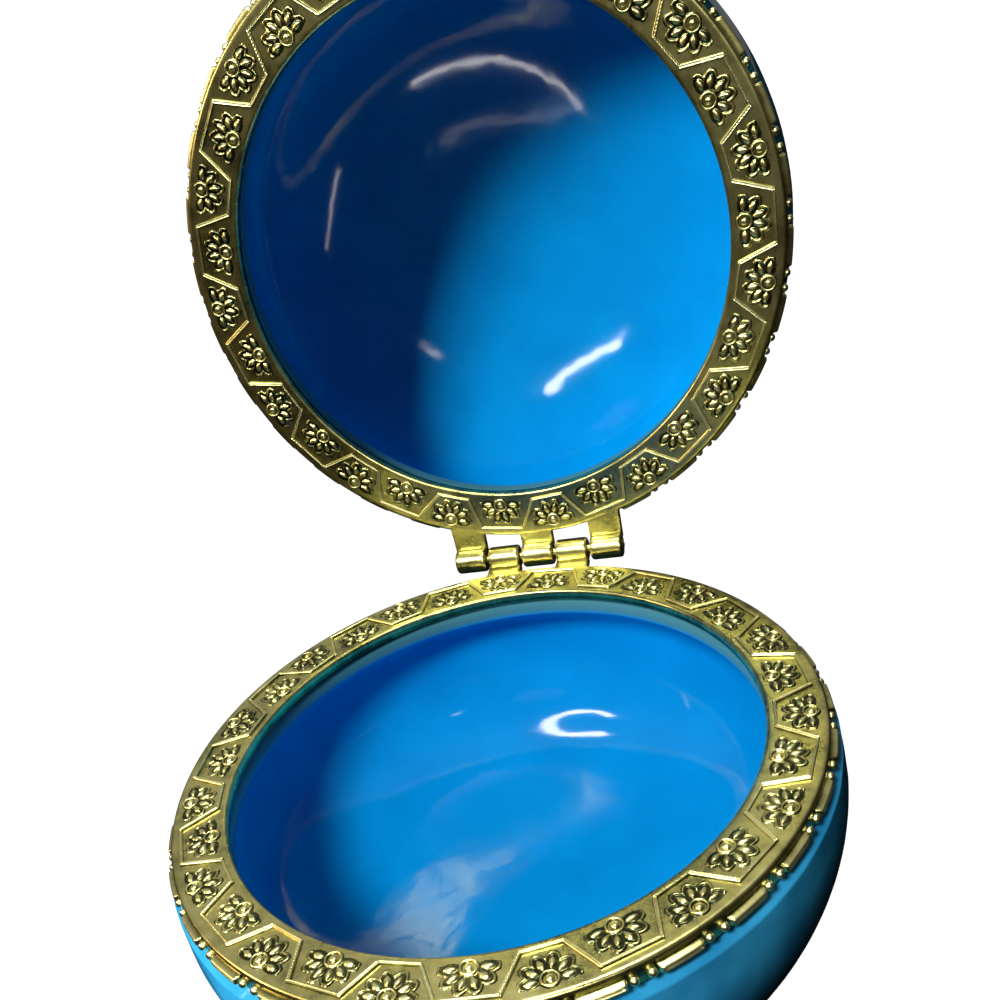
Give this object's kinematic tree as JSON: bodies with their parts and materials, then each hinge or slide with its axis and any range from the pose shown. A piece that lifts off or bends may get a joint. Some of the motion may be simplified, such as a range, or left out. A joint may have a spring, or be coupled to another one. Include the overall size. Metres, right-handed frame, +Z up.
{
  "type": "macaron trinket box",
  "caption": "Small round trinket box shaped like a macaron, two hollow glazed ceramic shells in ornamented gold-tone rims joined by a rear hinge, standing open.",
  "frame": {"origin": "middle of the flat underside of the lower shell", "axes": "+Z up, +Y towards the hinge at the back, +X to the right seen from the front"},
  "size_m": [0.0622, 0.0849, 0.086],
  "materials": {
    "blue_glaze": "glossy",
    "gold_tone_metal": "polished"
  },
  "bodies": {
    "base": {"base_shell": "blue_glaze", "base_rim": "gold_tone_metal", "hinge_pin": "gold_tone_metal"},
    "lid": {"lid_shell": "blue_glaze", "lid_rim": "gold_tone_metal"}
  },
  "joints": [
    {"name": "lid_hinge", "type": "hinge", "parent": "base", "child": "lid", "pos_m": [0, 0.0322, 0.02345], "axis": [1, 0, 0], "range_deg": [0, 92]}
  ]
}
